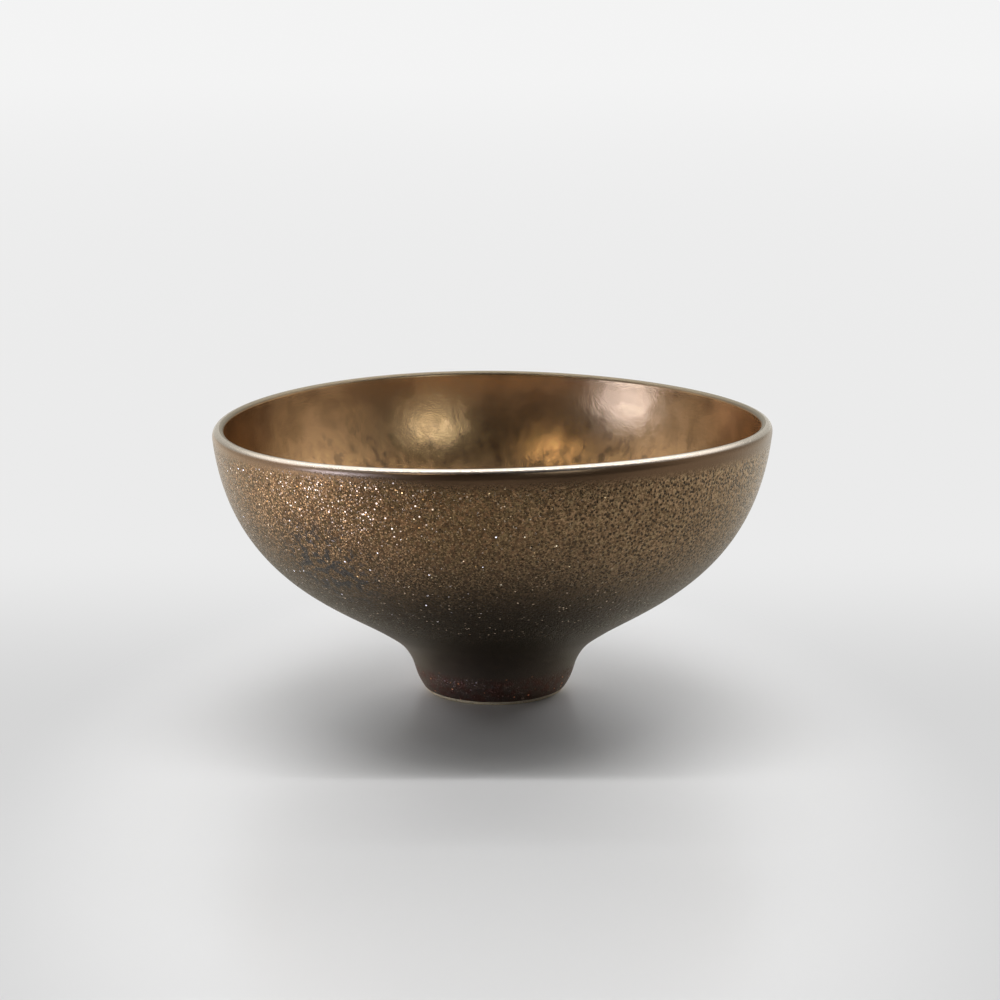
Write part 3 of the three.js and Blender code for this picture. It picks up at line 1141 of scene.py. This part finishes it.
# %% Lay the floor
def lay_floor(material):
    mesh = bpy.data.meshes.new("floor")
    half = FLOOR_SIZE / 2
    corners = [(-half, -half, 0), (half, -half, 0), (half, half, 0), (-half, half, 0)]
    mesh.from_pydata(corners, [], [(0, 1, 2, 3)])
    mesh.materials.append(material)
    floor = bpy.data.objects.new("floor", mesh)
    bpy.context.scene.collection.objects.link(floor)
    return floor


lay_floor(pale_floor())
print("floor", FLOOR_SIZE, "m wide")

# %% [markdown]
# ## The lamps
# The shadow tells how the cup is lit. Its straight, sharp front edge comes from a long narrow lamp
# across the roof, right over the cup, and a second, weaker edge from another one further back. The
# dark patch in front of the foot is the foot's own shadow from light that comes in low from behind.
#
# A lamp does two things in a picture of metal: it lights the matt floor, and it shows as a shape in
# the metal. In a real studio, screens are moved about until both are right. Here a lamp can also be
# hidden from glossy rays, so that it only lights, or from diffuse rays, so that it is only mirrored.
# The cool lamp low at the left makes the crystals glitter, glows under the lip and is the pinkish
# spot at the right of the inside. The fresh one in front is the golden spot at its left, and the
# warm one, higher up, lies in the mottles lower down.

# %% Helpers for lamps
LIT_FLOOR = FLOOR_GREY * (1 - FLOOR_GLOSS)
CUP_MIDDLE = (0, 0, CUP_HEIGHT / 2)
WHITE = (1.0, 1.0, 1.0)
COOL = (0.42, 0.57, 1.0)
FRESH = (0.76, 0.9, 1.0)
WARM = (1.0, 0.88, 0.65)


def soft_lamp(name, place, size, brightness, aim=CUP_MIDDLE, colour=WHITE, lights=True, mirrored=True):
    """A flat lamp. A dome of brightness 1 would light the floor to the top of the scale."""
    data = bpy.data.lights.new(name, "AREA")
    data.shape = "RECTANGLE"
    data.size, data.size_y = size
    data.energy = brightness / LIT_FLOOR * math.pi * size[0] * size[1]
    data.color = colour
    lamp = bpy.data.objects.new(name, data)
    lamp.location = place
    lamp.rotation_euler = (Vector(aim) - Vector(place)).to_track_quat("-Z", "Y").to_euler()
    lamp.visible_camera = False
    lamp.visible_diffuse = lights
    lamp.visible_glossy = mirrored
    bpy.context.scene.collection.objects.link(lamp)


def around(turn, rise, distance):
    """A place seen from the cup at a turn from +X and a rise over the floor, both in degrees."""
    sideways = math.radians(turn)
    upwards = math.radians(rise)
    level = distance * math.cos(upwards)
    return (level * math.cos(sideways), level * math.sin(sideways), distance * math.sin(upwards))


print("lamps are for a floor of", round(LIT_FLOOR, 3))

# %% Strips across the roof
ROOF_HEIGHT = 400 * MM
STRIP_WIDTH = 16 * MM
STRIP_LENGTH = 600 * MM
MIDDLE_LENGTH = 340 * MM
ROOF_LAMP_Y = -11 * MM
BACK_LAMP_Y = 217 * MM


def roof_strip(name, y, length, brightness):
    soft_lamp(name, (0, y, ROOF_HEIGHT), (length, STRIP_WIDTH), brightness, aim=(0, y, 0))


# The shorter strip makes the middle of the one over the cup brighter.
roof_strip("roof_lamp", ROOF_LAMP_Y, STRIP_LENGTH, brightness=15.4)
roof_strip("roof_lamp_middle", ROOF_LAMP_Y, MIDDLE_LENGTH, brightness=16.8)
roof_strip("back_lamp", BACK_LAMP_Y, STRIP_LENGTH, brightness=9.5)
print("strips", round(ROOF_HEIGHT / MM), "mm over the floor")

# %% Lamps that only light
LOW_BACK_Y = 800 * MM
LOW_BACK_SIZE = (1600 * MM, 140 * MM)
BACK_CORNER_TURNS = {"right_back": 60, "left_back": 120}
BACK_CORNER_SIZE = (316 * MM, 310 * MM)
LOW_LEFT_SIZE = (190 * MM, 100 * MM)

low = LOW_BACK_SIZE[1] / 2
low_back_place = (0, LOW_BACK_Y, low)
soft_lamp("low_back", low_back_place, LOW_BACK_SIZE, brightness=24, aim=(0, 0, low), mirrored=False)
for name, turn in BACK_CORNER_TURNS.items():
    corner_place = around(turn, rise=32.5, distance=700 * MM)
    soft_lamp(name, corner_place, BACK_CORNER_SIZE, brightness=2.8, mirrored=False)
low_left_place = around(turn=207.5, rise=10, distance=300 * MM)
soft_lamp("low_left", low_left_place, LOW_LEFT_SIZE, brightness=1.8, mirrored=False)
print("lamps so far:", len(bpy.data.lights))

# %% Lamps that are only mirrored
MIRRORED_AWAY = 1.0
LEFT_SIZE = (390 * MM, 190 * MM)
FRONT_SIZE = (270 * MM, 170 * MM)
HIGH_SIZE = (200 * MM, 200 * MM)

left_place = around(turn=205.5, rise=10.3, distance=MIRRORED_AWAY)
front_place = around(turn=300.5, rise=28.3, distance=MIRRORED_AWAY)
high_place = around(turn=235, rise=42, distance=MIRRORED_AWAY)
soft_lamp("left_lamp", left_place, LEFT_SIZE, brightness=8.4, colour=COOL, lights=False)
soft_lamp("front_lamp", front_place, FRONT_SIZE, brightness=5.0, colour=FRESH, lights=False)
soft_lamp("high_lamp", high_place, HIGH_SIZE, brightness=3.2, colour=WARM, lights=False)
print("lamps:", len(bpy.data.lights))

# %% [markdown]
# ## The tent's cloth
# Everything beyond the floor and lamps is the tent, and a World shader stands for it. Seen straight
# it is one white. In the metal, its front round the camera is dim and darker still higher up, which
# gives the dark line under the lip's bright one, and the roof behind the cup is bright, because the
# lamps shine on it from close by. To anything that only gathers light it is nearly dark, so that
# the lamps alone make the shadow. A modelled tent could do the same, with far more light paths.

# %% The world
TENT_WHITE = 0.86
REST_OF_TENT = 0.05
FRONT_LOW = 0.28
FRONT_TOP = 0.04
FRONT_TOP_STEP = (0.5, 0.0)
FRONT_STEP = (0.0, 0.65)
BACK_ROOF = 3.0
ROOF_STEP = (0.35, 0.6)
BACK_STEP = (0.0, 0.15)


def tent_world(name):
    world = bpy.data.worlds.new(name)
    world.use_nodes = True
    world.node_tree.nodes.clear()
    graph = Graph(world.node_tree)
    ray = graph.add("ShaderNodeLightPath")
    way = graph.add("ShaderNodeSeparateXYZ", {}, {0: graph.add("ShaderNodeTexCoord")["Generated"]})
    mirrored = ray["Is Glossy Ray"]
    front = between(-way["Y"], *FRONT_STEP) * mirrored
    front_white = between(way["Z"], *FRONT_TOP_STEP) * (FRONT_LOW - FRONT_TOP) + FRONT_TOP
    roof = between(way["Z"], *ROOF_STEP) * between(way["Y"], *BACK_STEP) * mirrored

    def cloth(strength):
        return graph.add("ShaderNodeBackground", {}, {"Color": rgb(1, 1, 1), "Strength": strength})[0]

    tent = mix_shaders(graph, front, cloth(TENT_WHITE), cloth(front_white))
    tent = mix_shaders(graph, roof, tent, cloth(BACK_ROOF))
    shader = mix_shaders(graph, seen_by(ray), cloth(REST_OF_TENT), tent)
    graph.add("ShaderNodeOutputWorld", {}, {"Surface": shader})
    return world


bpy.context.scene.world = tent_world("tent")
bpy.context.scene.view_settings.view_transform = "Standard"
print("world ready")
